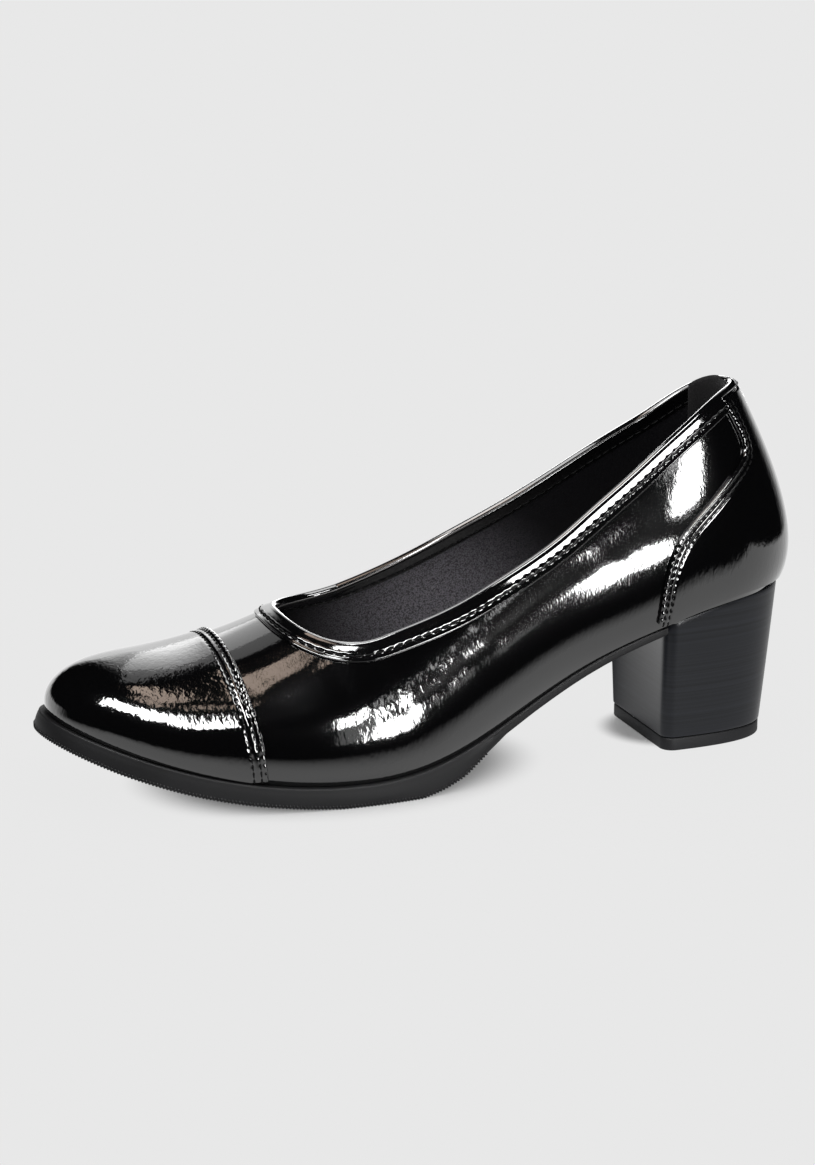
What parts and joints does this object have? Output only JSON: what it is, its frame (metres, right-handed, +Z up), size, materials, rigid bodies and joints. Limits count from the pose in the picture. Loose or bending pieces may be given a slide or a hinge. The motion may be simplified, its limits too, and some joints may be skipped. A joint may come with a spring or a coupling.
{
  "type": "block-heel pump",
  "caption": "Left women's pump: hollow patent-leather upper with toe cap, counter and bound topline, on a rubber outsole with insole, block heel and heel tip.",
  "frame": {"origin": "centre of the heel tip's floor face, on the floor", "axes": "+X from heel to toe, +Y to the lateral side of the left shoe, +Z up"},
  "size_m": [0.2473, 0.0786, 0.1157],
  "materials": {
    "upper_patent_leather": "crinkled patent gloss",
    "toe_cap_patent_leather": "crinkled patent gloss",
    "counter_patent_leather": "crinkled patent gloss",
    "binding_patent_leather": "patent gloss",
    "insole_leather": "grained satin",
    "outsole_rubber": "matte",
    "heel_stacked_leather": "stacked, satin",
    "heel_tip_rubber": "matte"
  },
  "bodies": {
    "root": {"upper": "upper_patent_leather", "toe_cap": "toe_cap_patent_leather", "counter": "counter_patent_leather", "topline_binding": "binding_patent_leather", "insole": "insole_leather", "outsole": "outsole_rubber", "heel": "heel_stacked_leather", "heel_tip": "heel_tip_rubber"}
  },
  "joints": []
}
